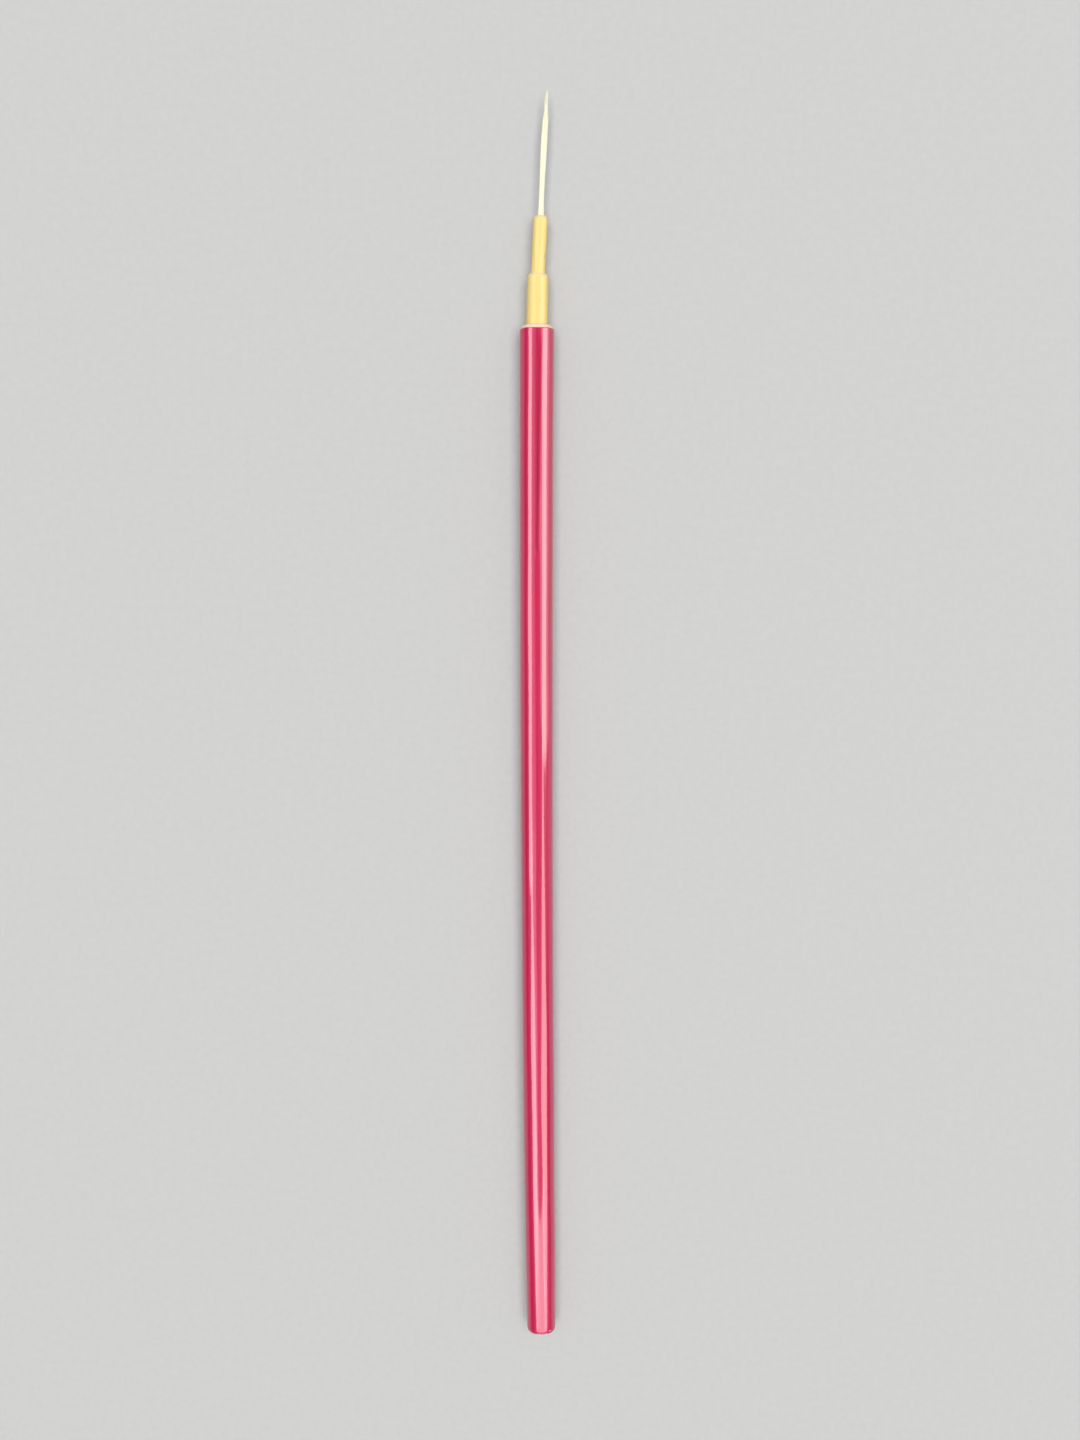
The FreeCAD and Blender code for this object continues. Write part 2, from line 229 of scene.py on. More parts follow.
class Skin:
    """A closed mesh grown ring by ring."""

    def __init__(self, sides):
        self.sides = sides
        self.angles = np.arange(sides) * 2 * math.pi / sides
        self.points = []
        self.grain = []
        self.wear_tone_painted_shade = []
        self.faces = []
        self.slots = []
        self.restart()

    def restart(self):
        """Makes the next ring the first of a new closed piece."""
        self.last = None
        self.first = None

    def add(self, place, local, wear_tone_painted_shade):
        """Adds points given in a frame, with a value for each: how worn it is, the painted shade on it, or a
        hair's tone.
        """
        matrix = np.array(place)
        self.points.append(local @ matrix[:3, :3].T + matrix[:3, 3])
        self.wear_tone_painted_shade.append(np.broadcast_to(wear_tone_painted_shade, len(local)))

    def ring(self, place, along, radius, slot=0, wear_tone_painted_shade=0.0, grain_along=None):
        """A ring about the frame's axis. radius and along may differ from point to point."""
        local = np.zeros((self.sides, 3))
        local[:, 0] = radius * np.cos(self.angles)
        local[:, 1] = along
        local[:, 2] = radius * np.sin(self.angles)
        start = sum(len(p) for p in self.points)
        self.add(place, local, wear_tone_painted_shade)
        straight = local.copy()
        straight[:, 1] = along if grain_along is None else grain_along
        self.grain.append(straight)
        ids = list(range(start, start + self.sides))
        if self.last is not None:
            self.join(self.last, ids, slot)
        self.first = self.first or ids
        self.last = ids

    def join(self, a, b, slot):
        """Joins two rings with a band of faces."""
        for i in range(self.sides):
            j = (i + 1) % self.sides
            self.faces.append((a[i], b[i], b[j], a[j]))
            self.slots.append(slot)

    def close(self, slot=0):
        """Joins the last ring to the first."""
        self.join(self.last, self.first, slot)

    def tip(self, ids, slot=0):
        """Closes a ring with a fan to its middle."""
        points = np.concatenate(self.points)
        grain = np.concatenate(self.grain)
        hub = len(points)
        self.points.append(points[ids].mean(0, keepdims=True))
        self.grain.append(grain[ids].mean(0, keepdims=True))
        self.wear_tone_painted_shade.append(np.zeros(1))
        for i in range(self.sides):
            self.faces.append((ids[i], ids[(i + 1) % self.sides], hub))
            self.slots.append(slot)

    def build(self, name, materials, sharp=40):
        """Makes the object. Edges sharper than that many degrees stay crisp."""
        mesh = bpy.data.meshes.new(name)
        mesh.from_pydata(np.concatenate(self.points).tolist(), [], self.faces)
        mesh.polygons.foreach_set("material_index", self.slots)
        tidy = bmesh.new()
        tidy.from_mesh(mesh)
        bmesh.ops.recalc_face_normals(tidy, faces=tidy.faces)
        tidy.to_mesh(mesh)
        tidy.free()
        grain = mesh.attributes.new("grain", "FLOAT_VECTOR", "POINT")
        grain.data.foreach_set("vector", np.concatenate(self.grain).astype(np.float32).ravel())
        # One value per point: how worn the lacquer is, painted shade in its furrow where below zero, or a hair's
        # tone.
        wear_tone_painted_shade = mesh.attributes.new("wear_tone_painted_shade", "FLOAT", "POINT")
        wear_tone_painted_shade.data.foreach_set("value", np.concatenate(self.wear_tone_painted_shade).astype(np.float32))
        for material in materials:
            mesh.materials.append(material)
        mesh.polygons.foreach_set("use_smooth", [True] * len(mesh.polygons))
        mesh.set_sharp_from_angle(angle=math.radians(sharp))
        piece = bpy.data.objects.new(name, mesh)
        bpy.context.scene.collection.objects.link(piece)
        return piece


# ---------------------------------------------------------------- materials
class Shader:
    """A node material, with short calls for the nodes that it is made of."""

    def __init__(self, name, coordinates="grain", **constants):
        self.material = bpy.data.materials.new(name)
        self.material.use_nodes = True
        self.tree = self.material.node_tree
        self.bsdf = self.tree.nodes["Principled BSDF"]
        if coordinates == "grain":
            self.where = self.attribute("grain", "Vector")
        else:
            self.where = self.tree.nodes.new("ShaderNodeTexCoord").outputs["Object"]
        for socket, value in constants.items():
            self.bsdf.inputs[socket.replace("_", " ")].default_value = value

    def link(self, source, target):
        self.tree.links.new(source, target)

    def attribute(self, name, output):
        node = self.tree.nodes.new("ShaderNodeAttribute")
        node.attribute_name = name
        return node.outputs[output]

    def scaled(self, x, y, z):
        """The piece's coordinates, so many to the metre."""
        node = self.tree.nodes.new("ShaderNodeMapping")
        node.inputs["Scale"].default_value = (x, y, z)
        self.link(self.where, node.inputs["Vector"])
        return node.outputs["Vector"]

    def noise(self, per_metre, detail=3.0, roughness=0.55, distortion=0.0):
        node = self.tree.nodes.new("ShaderNodeTexNoise")
        node.inputs["Scale"].default_value = 1.0
        node.inputs["Detail"].default_value = detail
        node.inputs["Roughness"].default_value = roughness
        node.inputs["Distortion"].default_value = distortion
        self.link(self.scaled(*per_metre), node.inputs["Vector"])
        return node.outputs["Fac"]

    def cells(self, per_metre, randomness=1.0):
        """Distance from the nearest of many scattered points."""
        node = self.tree.nodes.new("ShaderNodeTexVoronoi")
        node.inputs["Scale"].default_value = 1.0
        node.inputs["Randomness"].default_value = randomness
        self.link(self.scaled(*per_metre), node.inputs["Vector"])
        return node.outputs["Distance"]

    def ramp(self, factor, *stops):
        """A colour ramp through (place, colour) stops; a number stands for a grey."""
        node = self.tree.nodes.new("ShaderNodeValToRGB")
        ramp = node.color_ramp
        while len(ramp.elements) < len(stops):
            ramp.elements.new(0.5)
        for element, (place, colour) in zip(ramp.elements, stops):
            element.position = place
            element.color = (*colour, 1) if isinstance(colour, tuple) else (colour, colour, colour, 1)
        self.link(factor, node.inputs["Fac"])
        return node.outputs["Color"]

    def mix(self, factor, first, second, blend="MIX"):
        node = self.tree.nodes.new("ShaderNodeMix")
        node.data_type = "RGBA"
        node.blend_type = blend
        sockets = {s.identifier: s for s in node.inputs}
        for key, value in (("Factor_Float", factor), ("A_Color", first), ("B_Color", second)):
            if isinstance(value, bpy.types.NodeSocket):
                self.link(value, sockets[key])
            else:
                sockets[key].default_value = (*value, 1) if isinstance(value, tuple) else value
        return [s for s in node.outputs if s.identifier == "Result_Color"][0]

    def colour(self, source):
        self.link(source, self.bsdf.inputs["Base Color"])

    def ranged(self, value, old, new):
        """A value moved from one range to another, and held inside it."""
        node = self.tree.nodes.new("ShaderNodeMapRange")
        for socket, number in zip(("From Min", "From Max", "To Min", "To Max"), (*old, *new)):
            node.inputs[socket].default_value = number
        self.link(value, node.inputs["Value"])
        return node.outputs["Result"]

    def roughness(self, factor, low, high):
        self.link(self.ranged(factor, (0, 1), (low, high)), self.bsdf.inputs["Roughness"])

    def bump(self, *layers):
        """Bumps laid one over another, each (height, how deep in metres)."""
        below = None
        for height, depth in layers:
            node = self.tree.nodes.new("ShaderNodeBump")
            node.inputs["Distance"].default_value = depth
            self.link(height, node.inputs["Height"])
            if below is not None:
                self.link(below, node.inputs["Normal"])
            below = node.outputs["Normal"]
        self.link(below, self.bsdf.inputs["Normal"])


def lacquer_material():
    """Crimson lacquer over bamboo: faint fibres telegraph through, the rims are worn pale, and painted shade
    darkens it along the furrow.
    """
    s = Shader("red_lacquer", Coat_Weight=1.0, Coat_Roughness=0.06, Coat_IOR=1.52, IOR=1.5,
               Specular_IOR_Level=0.3)
    fibres = s.noise((2600, 26, 2600), detail=4)
    clouds = s.noise((90, 22, 90), detail=2)
    specks = s.noise((5200, 5200, 5200), detail=1)
    deep = s.ramp(fibres, (0.25, (0.38, 0.002, 0.045)), (0.75, (0.50, 0.005, 0.071)))
    aged = s.mix(s.ramp(clouds, (0.35, 0.0), (0.75, 0.5)), deep, (0.40, 0.003, 0.047))
    # The value read here is above zero where the lacquer is worn pale, and below zero where painted shade darkens
    # the furrow.
    wear_tone_painted_shade = s.attribute("wear_tone_painted_shade", "Fac")
    # Painted shade in the furrow: a deeper crimson.
    painted_furrow_shade = s.mix(s.ranged(wear_tone_painted_shade, (0, -1), (0, 1)), aged, (0.20, 0.0, 0.016))
    worn = s.mix(s.ranged(wear_tone_painted_shade, (0, 1), (0, 1)), painted_furrow_shade, (0.66, 0.42, 0.36))
    s.colour(worn)
    s.roughness(fibres, 0.30, 0.40)
    s.bump((fibres, 0.004 * MM), (specks, 0.001 * MM))
    return s.material


def bamboo_skin_material():
    """Scraped golden bamboo: fine straight fibres, some darker, and a few brown flecks."""
    s = Shader("bamboo_skin", IOR=1.45, Specular_IOR_Level=0.4)
    broad = s.noise((700, 25, 700), detail=3)
    fine = s.noise((5200, 60, 5200), detail=4)
    flecks = s.noise((3800, 420, 3800), detail=2)
    ground = s.ramp(broad, (0.3, (0.67, 0.51, 0.17)), (0.7, (0.73, 0.57, 0.21)))
    fibred = s.mix(s.ramp(fine, (0.35, 0.5), (0.6, 0.0)), ground, (0.58, 0.42, 0.13))
    flecked = s.mix(s.ramp(flecks, (0.70, 0.0), (0.78, 0.55)), fibred, (0.30, 0.18, 0.06))
    s.colour(flecked)
    s.roughness(fine, 0.34, 0.52)
    s.bump((fine, 0.010 * MM))
    return s.material


def bamboo_cut_material(name, ground, pores):
    """Bamboo across or along a cut: paler, matt, dotted with the ends of its fibre bundles."""
    s = Shader(name, IOR=1.45, Specular_IOR_Level=0.25)
    bundles = s.cells((6500, 1600, 6500))
    grain = s.noise((4200, 160, 4200), detail=4)
    field = s.ramp(grain, (0.3, tuple(0.9 * c for c in ground)), (0.7, ground))
    s.colour(s.mix(s.ramp(bundles, (0.14, 0.5), (0.28, 0.0)), field, pores))
    s.roughness(grain, 0.55, 0.75)
    s.bump((grain, 0.015 * MM), (bundles, 0.010 * MM))
    return s.material


def hair_material():
    """Pale straight hair with a soft sheen, each hair a little different."""
    s = Shader("hair", IOR=1.5, Specular_IOR_Level=0.45, Sheen_Weight=0.15, Sheen_Roughness=0.4)
    tone = s.attribute("wear_tone_painted_shade", "Fac")
    scales = s.noise((300, 2600, 300), detail=2)
    base = s.ramp(tone, (0.0, (0.66, 0.61, 0.42)), (0.45, (0.75, 0.72, 0.53)),
                  (1.0, (0.79, 0.77, 0.61)))
    s.colour(s.mix(s.ramp(scales, (0.4, 0.0), (0.8, 0.25)), base, (0.68, 0.64, 0.43)))
    s.roughness(scales, 0.36, 0.50)
    s.bump((scales, 0.002 * MM))
    return s.material


def plug_material():
    """Turned wood of the plug in the butt."""
    s = Shader("plug_wood", coordinates="object")
    rings = s.noise((1800, 90, 1800), detail=4)
    s.colour(s.ramp(rings, (0.3, (0.55, 0.40, 0.22)), (0.7, (0.74, 0.60, 0.40))))
    s.roughness(rings, 0.6, 0.8)
    s.bump((rings, 0.02 * MM))
    return s.material


def thread_material():
    """Undyed thread, with its plies."""
    s = Shader("thread", coordinates="object", Sheen_Weight=0.2)
    plies = s.noise((9000, 9000, 9000), detail=2)
    s.colour(s.ramp(plies, (0.3, (0.70, 0.66, 0.55)), (0.7, (0.88, 0.85, 0.76))))
    s.roughness(plies, 0.6, 0.8)
    s.bump((plies, 0.008 * MM))
    return s.material


def resin_material():
    """Dark amber resin, cloudy and a little glossy."""
    s = Shader("resin", coordinates="object", Coat_Weight=0.3, Coat_Roughness=0.1)
    clots = s.noise((2500, 2500, 2500), detail=3)
    s.colour(s.ramp(clots, (0.3, (0.16, 0.07, 0.02)), (0.7, (0.40, 0.20, 0.06))))
    s.roughness(clots, 0.2, 0.4)
    s.bump((clots, 0.01 * MM))
    return s.material


LACQUER = lacquer_material()
SKIN = bamboo_skin_material()
CUT = bamboo_cut_material("bamboo_cut", (0.70, 0.58, 0.28), (0.46, 0.32, 0.12))
BARE = bamboo_cut_material("bare_rim", (0.72, 0.53, 0.40), (0.58, 0.36, 0.25))
HAIR = hair_material()


# ---------------------------------------------------------------- handle pieces
def smooth(low, high, value):
    """0 below low, 1 above high, and a smooth rise between."""
    t = np.clip((value - low) / (high - low), 0, 1)
    return t * t * (3 - 2 * t)


def furrow(angles, y):
    """The bud furrow along the top of the culm, seen through the lacquer: a shallow groove that
    narrows from the mouth until it stops at a small bud scar. Gives its height, and as a negative
    value the painted shade that darkens the lacquer in it."""
    back = MOUTH_Y - y
    share = (back - FURROW_START) / (FURROW_STOP - FURROW_START)
    inside = min(max(share, 0.0), 1.0)
    across = handle.radius(y) * (math.pi / 2 - angles) - (0.42 - 0.30 * inside ** 0.7) * MM
    width = (0.30 - 0.19 * inside) * MM
    fade = smooth(-0.02, 0.10, share) * (1 - smooth(0.975, 1.0, share))
    trough = np.exp(-(across / width) ** 2)
    rims = np.exp(-((np.abs(across) - 2.0 * width) / width) ** 2)
    past = back - FURROW_STOP - 0.15 * MM
    scar = np.exp(-(across / SCAR_SIZE) ** 2 - (past / SCAR_SIZE) ** 2)
    height = fade * (0.018 * inside * rims - 0.050 * trough) + 0.07 * scar
    return height * MM, -fade * (0.55 + 0.45 * inside) * trough


def chip(angles, y):
    """How far the lacquer is chipped away at the butt's rim, from 0 to 1."""
    across = handle.radius(y) * (angles - CHIP_TURN)
    up = y - coat_low.y - 0.2 * MM
    return np.exp(-(across / (0.34 * MM)) ** 2 - (up / (0.5 * MM)) ** 2)


def nib(angles, y):
    """A speck caught under the lacquer on the left flank."""
    across = handle.radius(y) * (angles - NIB_TURN)
    up = y - MOUTH_Y + NIB_AT
    return NIB_HEIGHT * np.exp(-(across / (0.13 * MM)) ** 2 - (up / (0.22 * MM)) ** 2)


def chipped(bite):
    """How worn the lacquer is where it is chipped that much."""
    return smooth(0.25, 0.6, bite) * 0.85


def shell_butt(skin, tree):
    """The flat end and the rounded edge at the butt, measured ring by ring."""
    butt = coat_low.y
    seam = handle.place(butt + END_LENGTH)
    gap = handle.radius(butt + END_LENGTH) - radius_of(tree, seam, 0)
    face_radius = radius_of(tree, handle.place(butt), 0.25 * END_STEP) + gap
    for share in (0.25, 0.5, 0.75, 0.92):
        skin.ring(handle.place(butt), 0, share * face_radius)
    for y in np.arange(0.5 * END_STEP, END_LENGTH, END_STEP) + butt:
        place = handle.place(y)
        bite = chip(skin.angles, y)
        radius = radius_of(tree, place, 0) + gap - CHIP_DEPTH * bite
        skin.ring(place, 0, radius, wear_tone_painted_shade=chipped(bite), grain_along=y)


def shell_length(skin, waves, brush_marks):
    """The long outside, with its slow waves, brush marks, furrow and speck."""
    angles = skin.angles
    butt = coat_low.y
    for y in np.arange(butt + END_LENGTH, coat_high.y - 0.2 * MM, HANDLE_STEP):
        bite = chip(angles, y)
        settle = smooth(butt + END_LENGTH, butt + SETTLE_LENGTH, y)
        radius = handle.radius(y) + settle * (waves(angles, y) + brush_marks(angles, y))
        # The furrow's second value is painted shade, which darkens the lacquer along it.
        groove, painted_furrow_shade = furrow(angles, y)
        radius = radius + groove + nib(angles, y) - CHIP_DEPTH * bite
        skin.ring(handle.place(y), 0, radius, wear_tone_painted_shade=chipped(bite) + painted_furrow_shade, grain_along=y)


def shell_edge(skin, outer):
    """The rounded, slightly uneven edge where the lacquer stops at the mouth."""
    edge = ripple(8, COAT_EDGE_WAVE, (2, 9), (0, 1), WAVE_REACH)
    place = handle.place(coat_high.y)
    steps = ((0.14, 0.0, 0.0), (0.05, 0.012, 0.15), (0.01, 0.035, 0.4), (0.0, 0.07, 0.6))
    for back, drop, wear_tone_painted_shade in steps:
        along = edge(skin.angles, 0) - back * MM
        skin.ring(place, along, outer - drop * MM, wear_tone_painted_shade=wear_tone_painted_shade, grain_along=coat_high.y)


def lacquer_shell():
    """The coat of lacquer over the whole handle, closed at the butt."""
    waves = ripple(3, 0.012 * MM, (1, 4), (1, 9), WAVE_REACH)
    brush_marks = ripple(5, 0.003 * MM, (9, 22), (0.5, 5), WAVE_REACH)
    skin = Skin(HANDLE_SIDES)
    angles = skin.angles
    butt = coat_low.y
    stop = coat_high.y
    shell_butt(skin, surface("lacquer_coat"))
    shell_length(skin, waves, brush_marks)
    shell_edge(skin, handle.radius(stop) + waves(angles, stop) + brush_marks(angles, stop))
    for y in np.linspace(stop - 0.3 * MM, butt + COAT, 24):
        skin.ring(handle.place(y), 0, handle.radius(y) - COAT - COAT_OVERLAP, grain_along=y)
    skin.tip(skin.last)
    skin.tip(skin.first)
    piece = skin.build("lacquered_shell", [LACQUER])
    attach(piece, "handle")
    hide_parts("lacquer_coat")


def culm_inside(skin, hollow, socket_end):
    """The culm's hollow, its covered end and its covered side, up to the mouth."""
    for y in np.linspace(MOUTH_Y + socket_end, culm_low.y + 0.5 * MM, 24):
        skin.ring(handle.place(y), 0, hollow, slot=1, grain_along=y)
    skin.ring(handle.place(culm_low.y), 0, handle.radius(culm_low.y) - 0.7 * MM, slot=1)
    for y in np.linspace(culm_low.y + 0.4 * MM, coat_high.y - 0.4 * MM, 24):
        skin.ring(handle.place(y), 0, handle.radius(y) - COAT - CULM_GAP, slot=1, grain_along=y)


def culm_rim(skin, tree, socket):
    """The bare rim at the mouth: pared round with a knife, then cut across to the socket."""
    knife = ripple(21, 0.03 * MM, (3, 11), (0, 2), 0.01)
    rim = handle.place(MOUTH_Y)
    uneven = knife(skin.angles, 0)
    under = radius_of(tree, handle.place(coat_high.y), 0.02 * MM)
    top = radius_of(tree, rim, -0.02 * MM)
    for share in (-0.15, 0.0, 0.08, 0.25, 0.45, 0.65, 0.85, 0.94, 0.985):
        y = coat_high.y + share * (MOUTH_Y - coat_high.y)
        held = max(share, 0)
        bulge = 0.05 * MM * math.sin(math.pi * min(held, 1))
        radius = under + (top - under) * held + bulge + uneven * (0.2 + 0.8 * held)
        skin.ring(rim, y - MOUTH_Y, radius, grain_along=y)
    face = top + uneven
    for share in (0.04, 0.3, 0.6, 0.9):
        skin.ring(rim, 0, face + (socket - face) * share)


def bamboo_culm():
    """The culm inside the lacquer. Only its cut rim and its socket are ever seen."""
    tree = surface("handle_culm")
    socket = radius_of(tree, MIDDLE, -1 * MM, inside=True)
    hollow = radius_of(tree, handle.place((culm_low.y + MOUTH_Y) / 2), 0, inside=True)
    socket_end = extent("middle_tube", MIDDLE)[0]
    skin = Skin(HANDLE_SIDES)
    culm_inside(skin, hollow, socket_end)
    culm_rim(skin, tree, socket)
    for along in (-0.03, -0.2, -2, -4, -6, -8, -10):
        skin.ring(MIDDLE, along * MM, socket, slot=1)
    skin.ring(MIDDLE, socket_end, socket, slot=1)
    skin.close(1)
    piece = skin.build("bamboo_handle_culm", [BARE, CUT])
    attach(piece, "handle")
    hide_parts("handle_culm")


# ---------------------------------------------------------------- tubes
def tube_outside(skin, tree, place, ends, shown_from, seed):
    """A tube's side and bevelled mouth, measured from the CAD node and made a little uneven where
    it shows. Gives the outer radius at the very mouth."""
    low, high = ends
    angles = skin.angles
    facets = ripple(seed, 0.010 * MM, (5, 17), (0.2, 2), high - low)
    oval = ripple(seed + 1, 0.012 * MM, (1, 3), (0.2, 2), high - low)
    knife = ripple(seed + 2, 0.022 * MM, (4, 12), (0, 1), high - low)
    for along in np.arange(low + 0.02 * MM, high - 0.01 * MM, TUBE_STEP):
        cut = along > high - MOUTH_CUT - 0.5 * TUBE_STEP
        shaped = smooth(shown_from - SKIN_BLEND, shown_from + SKIN_BLEND, along)
        radius = radius_of(tree, place, along) + shaped * (facets(angles, along) + oval(angles, along))
        if cut:
            radius = radius + knife(angles, along) * smooth(high - MOUTH_CUT, high, along)
        skin.ring(place, along, radius, slot=int(cut or along < shown_from))
    return radius_of(tree, place, high - 0.01 * MM) + knife(angles, high) + oval(angles, high)


def bamboo_tube(name, node, body, place, shown_from, bore_place, bore_end, far_bore, seed):
    """A bamboo tube with a bore in its mouth, and with its own hollow behind that if far_bore."""
    tree = surface(node)
    low, high = extent(node, place)
    bore = radius_of(tree, bore_place, -1 * MM, inside=True)
    skin = Skin(TUBE_SIDES)
    mouth = tube_outside(skin, tree, place, (low, high), shown_from, seed)
    skin.ring(place, high - 0.008 * MM, mouth, slot=1)
    skin.ring(place, high, mouth - 0.03 * MM, slot=1)
    for share in (0.35, 0.7, 0.92):
        skin.ring(place, high, mouth + (bore - mouth) * share, slot=1)
    for along in np.linspace(-0.03 * MM, bore_end, 12):
        skin.ring(bore_place, along, bore, slot=1)
    if far_bore:
        inner = radius_of(tree, place, low + 1 * MM, inside=True)
        for along in np.linspace(low + 2.5 * MM, low + 0.02 * MM, 6):
            skin.ring(place, along, inner, slot=1)
    skin.close(1)
    piece = skin.build(name, [SKIN, CUT])
    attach(piece, body)
    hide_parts(node)


def bamboo_tubes():
    """The two tubes. The middle one takes the small one in its mouth, the small one the tuft."""
    middle_mouth = MIDDLE @ Vector((0, extent("middle_tube", MIDDLE)[1], 0))
    seam = (TUFT.inverted() @ middle_mouth).y
    bore = TUFT @ Matrix.Translation((0, seam, 0))
    bamboo_tube("middle_bamboo_tube", "middle_tube", "ferrule", MIDDLE, 0, bore,
                extent("small_tube", bore)[0], True, 31)
    bamboo_tube("small_bamboo_tube", "small_tube", "tuft_holder", TUFT, seam, TUFT,
                extent("small_tube", TUFT)[0], False, 41)


# ---------------------------------------------------------------- tuft
SPANS = ("root", "lower", "waist", "belly", "tip")


class Tuft:
    """The bundle's outline, measured from the CAD lengths, and the way that it runs."""

    def __init__(self):
        self.root = extent("core_hairs_root", TUFT)[0]
        self.tip = extent("core_hairs_tip", TUFT)[1]
        self.coat_end = extent("coat_hairs_tip", TUFT)[1]
        stations = []
        radii = []
        for span in SPANS:
            low, high = extent(f"coat_hairs_{span}", TUFT)
            ball = 0 if span == "root" else 0.6 * MM
            self.measure(f"coat_hairs_{span}", low + ball, high, stations, radii)
        self.measure("core_hairs_tip", self.coat_end, self.tip, stations, radii)
        self.along = np.arange(self.root, self.tip, 0.1 * MM)
        measured = np.interp(self.along, stations, radii)
        padded = np.pad(measured, 6, mode="edge")
        self.outline = np.convolve(padded, np.ones(13) / 13, mode="valid")

    def measure(self, node, low, high, stations, radii):
        """Adds a CAD length's radii. The rounded start that sits in a pivot is left out by low."""
        tree = surface(node)
        for along in np.arange(low, high - 0.05 * MM, 0.3 * MM):
            stations.append(along)
            radii.append(radius_of(tree, TUFT, along))

    def radius(self, along):
        return np.interp(along, self.along, self.outline)

    def centre(self, along):
        """The bundle's own slight curve beside its CAD axis."""
        outside = np.maximum(along, 0) / self.tip
        side = (-0.30 * outside + 0.34 * outside ** 2) * MM
        droop = -0.12 * MM * outside ** 2
        return side, droop


tuft = Tuft()
HAIR_RADIUS = HAIR_FILL * tuft.radius(0.0) / math.sqrt(HAIRS)


def share_of(index):
    """How far out in the bundle a hair stands, from 0 to 1, so that all stand evenly."""
    return math.sqrt((index + 0.5) / HAIRS)


def hair_end(share, draw):
    """Where a hair ends: the coat hairs unevenly, and the core hairs in a point."""
    if share < CORE_SHARE:
        return tuft.tip - (share / CORE_SHARE) ** 3 * 1.3 * MM - draw.uniform(0, 0.5) * MM
    return tuft.coat_end + 1.2 * MM - draw.uniform(0, 3.4) * MM


def hair_path(index, draw):
    """One hair's rings as (along, x, z, radius), from the root to its own end."""
    share = share_of(index)
    end = hair_end(share, draw)
    along = np.append(np.arange(tuft.root, end - 0.2 * HAIR_STEP, HAIR_STEP), end)
    coated = 1 - smooth(tuft.coat_end - 3.2 * MM, tuft.coat_end + 0.6 * MM, along)
    out = np.minimum(share / (CORE_SHARE + (1 - CORE_SHARE) * coated), 1.0)
    free = smooth(0, 6 * MM, along)
    waves = [draw.uniform(0, FULL_TURN) for _ in range(2)]
    out = out + free * 0.02 * np.sin(along / (2.9 * MM) + waves[0])
    turned = index * GOLDEN_TURN + free * 0.05 * np.sin(along / (3.7 * MM) + waves[1])
    splay = 0.08 * MM * smooth(tuft.tip - 3.5 * MM, tuft.tip - 1 * MM, along)
    packed = tuft.radius(along) - 0.6 * HAIR_RADIUS + splay
    stray = draw.uniform(0.03, 0.16) * MM if draw.random() < 0.06 else 0.0
    spread = packed * out + stray * smooth(end - 4.5 * MM, end, along)
    x, z = tuft.centre(along)
    left = (end - along) / (end - tuft.root)
    radius = HAIR_RADIUS * draw.uniform(0.88, 1.1) * (0.3 + 0.7 * smooth(0, 0.13, left))
    return along, x + spread * np.cos(turned), z + spread * np.sin(turned), radius


def add_strand(strands, path, low, high, tone):
    """Adds the part of a hair that lies between two cuts, closed at both ends, if there is any."""
    along, x, z, radius = path
    if along[-1] <= low:
        return
    inner = along[(along > low + CUT_MARGIN) & (along < high - CUT_MARGIN)]
    strands.restart()
    for station in np.concatenate([[low], inner, [min(high, along[-1])]]):
        aside = (np.interp(station, along, x), 0, np.interp(station, along, z))
        thick = np.interp(station, along, radius)
        strands.ring(TUFT @ Matrix.Translation(aside), station, thick, wear_tone_painted_shade=tone)
    strands.tip(strands.first)
    strands.tip(strands.last)


def bend_with_tuft(piece, kind, number):
    """Bakes a piece's placement into its mesh, and has it replace the CAD lengths that it covers."""
    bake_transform(piece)
    covered = SPANS[number:number + 1] if number < len(BENDS) - 1 else SPANS[number:]
    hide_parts(*[f"{kind}_hairs_{span}" for span in covered])


def hair_pieces():
    """Core and coat hairs in as many pieces as there are bends, cut half way between them."""
    cuts = [tuft.root] + [(a + b) / 2 for a, b in zip(BENDS, BENDS[1:])] + [tuft.tip]
    draw = random.Random(11)
    paths = [hair_path(i, draw) for i in range(HAIRS)]
    tones = [draw.random() for _ in range(HAIRS)]
    core_count = sum(share_of(i) < CORE_SHARE for i in range(HAIRS))
    for kind, members in (("core", range(core_count)), ("coat", range(core_count, HAIRS))):
        for number in range(len(BENDS)):
            strands = Skin(HAIR_SIDES)
            for i in members:
                add_strand(strands, paths[i], cuts[number], cuts[number + 1], tones[i])
            span = SPANS[number] if number < len(BENDS) - 1 else "tip"
            piece = strands.build(f"{kind}_strands_{span}", [HAIR], sharp=75)
            bend_with_tuft(piece, kind, number)


# ---------------------------------------------------------------- stage, lights and camera
def floor():
    """A plain pale surface, far wider than the brush."""
    half = FLOOR_HALF
    corners = [(-half, -half, 0), (half, -half, 0), (half, half, 0), (-half, half, 0)]
    mesh = bpy.data.meshes.new("floor")
    mesh.from_pydata(corners, [], [(0, 1, 2, 3)])
    s = Shader("floor", coordinates="object", Specular_IOR_Level=0.2)
    mottle = s.noise((900, 900, 900), detail=3)
    s.colour(s.ramp(mottle, (0.3, (0.40, 0.40, 0.397)), (0.7, (0.42, 0.42, 0.417))))
    s.roughness(mottle, 0.75, 0.9)
    s.bump((mottle, 0.02 * MM))
    mesh.materials.append(s.material)
    plane = bpy.data.objects.new("floor", mesh)
    bpy.context.scene.collection.objects.link(plane)


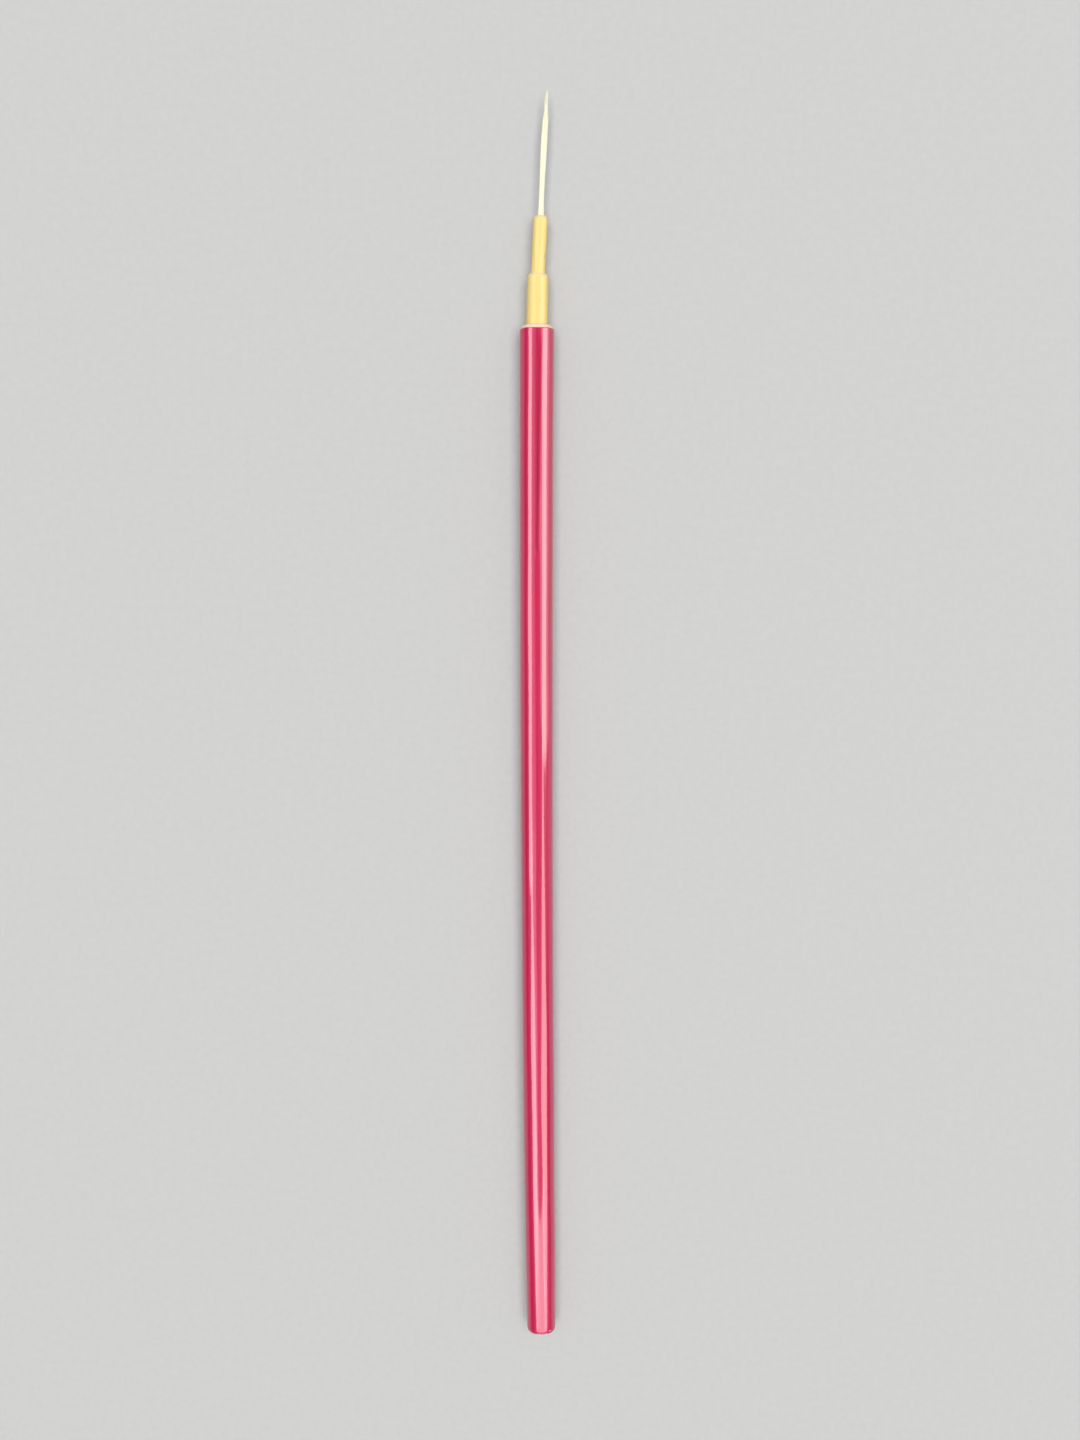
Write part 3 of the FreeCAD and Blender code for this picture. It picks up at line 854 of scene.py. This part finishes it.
def area_light(name, matrix, size, radiance, colour):
    """A rectangular light of one radiance, which the camera doesn't see."""
    lamp = bpy.data.lights.new(name, "AREA")
    lamp.shape = "RECTANGLE"
    lamp.size, lamp.size_y = size
    lamp.energy = radiance * math.pi * lamp.size * lamp.size_y
    lamp.color = colour
    light = bpy.data.objects.new(name, lamp)
    light.matrix_world = matrix
    light.visible_camera = False
    bpy.context.scene.collection.objects.link(light)
    return light


def strip_light(name, start, end, width, radiance, colour):
    """A long soft strip at one height between two (x, y) places, turned to face the brush. It
    shapes the gloss alone."""
    a = Vector((*start, LIGHT_HEIGHT))
    b = Vector((*end, LIGHT_HEIGHT))
    middle = (a + b) / 2
    away = (middle - Vector((0, middle.y * 0.35, 0))).normalized()
    along = (b - a).normalized()
    along = (along - away * along.dot(away)).normalized()
    turn = Matrix((along, away.cross(along), away)).transposed().to_4x4()
    place = Matrix.Translation(middle) @ turn
    light = area_light(name, place, ((b - a).length, width), radiance, colour)
    light.visible_diffuse = False


def gloss_strips():
    """Strips at both sides, which close in and meet beyond the butt."""
    strip_light("left_strip", (-0.50, 0.40), (-0.50, -0.20), 0.30, 6.4, COOL)
    strip_light("left_end", (-0.47, -0.22), (-0.21, -0.42), 0.26, 6.4, COOL)
    strip_light("left_glow", (-0.20, 0.40), (-0.20, -0.40), 0.26, 1.0, COOL)
    strip_light("glow_end", (-0.18, -0.12), (-0.18, -0.42), 0.30, 0.9, COOL)
    strip_light("right_strip", (0.76, 0.45), (0.74, -0.14), 0.53, 5.6, WARM)
    strip_light("right_end", (0.64, -0.22), (0.26, -0.43), 0.36, 5.6, WARM)
    strip_light("right_glow", (0.86, 0.50), (0.84, -0.14), 1.30, 2.1, WARM)
    strip_light("end_fill", (-0.24, -0.47), (0.32, -0.47), 0.24, 4.5, COOL)


def soft_light():
    """One large light above and an even world. They light everything, but don't show in the gloss."""
    size = (SOFTBOX_SIDE, SOFTBOX_SIDE)
    softbox = area_light("softbox", Matrix.Translation(SOFTBOX_AT), size, SOFTBOX_RADIANCE, WHITE)
    softbox.visible_glossy = False
    world = bpy.data.worlds.new("studio")
    world.use_nodes = True
    background = world.node_tree.nodes["Background"]
    background.inputs["Color"].default_value = (*WHITE, 1.0)
    background.inputs["Strength"].default_value = WORLD_RADIANCE
    bpy.context.scene.world = world
    world.cycles_visibility.glossy = False


def camera():
    """Above the brush, a little towards the tuft, and tipped a few degrees towards the butt."""
    length = cad_high.y - cad_low.y
    eye = bpy.data.cameras.new("camera")
    eye.sensor_fit = "AUTO"
    eye.sensor_width = 36.0
    eye.lens = LENS
    eye.clip_start = 0.01
    view = bpy.data.objects.new("camera", eye)
    above = CAMERA_ABOVE * length + handle.radius(0)
    view.location = (CAMERA_ASIDE, CAMERA_ALONG * length, above)
    view.rotation_euler = (CAMERA_TILT, 0, CAMERA_TURN)
    bpy.context.scene.collection.objects.link(view)
    bpy.context.scene.camera = view


# ---------------------------------------------------------------- making everything
def dress_hidden_pieces():
    """Materials for the CAD pieces inside the brush, which keep their own meshes."""
    dressed = (("butt_plug", plug_material()), ("binding_thread", thread_material()),
               ("root_seal", resin_material()), ("root_glue", resin_material()))
    for node, material in dressed:
        mesh = frame["nodes"][node].data
        mesh.materials.clear()
        mesh.materials.append(material)


camera()
floor()
gloss_strips()
soft_light()
bpy.context.scene.view_settings.view_transform = "Standard"

lacquer_shell()
bamboo_culm()
bamboo_tubes()
hair_pieces()
dress_hidden_pieces()
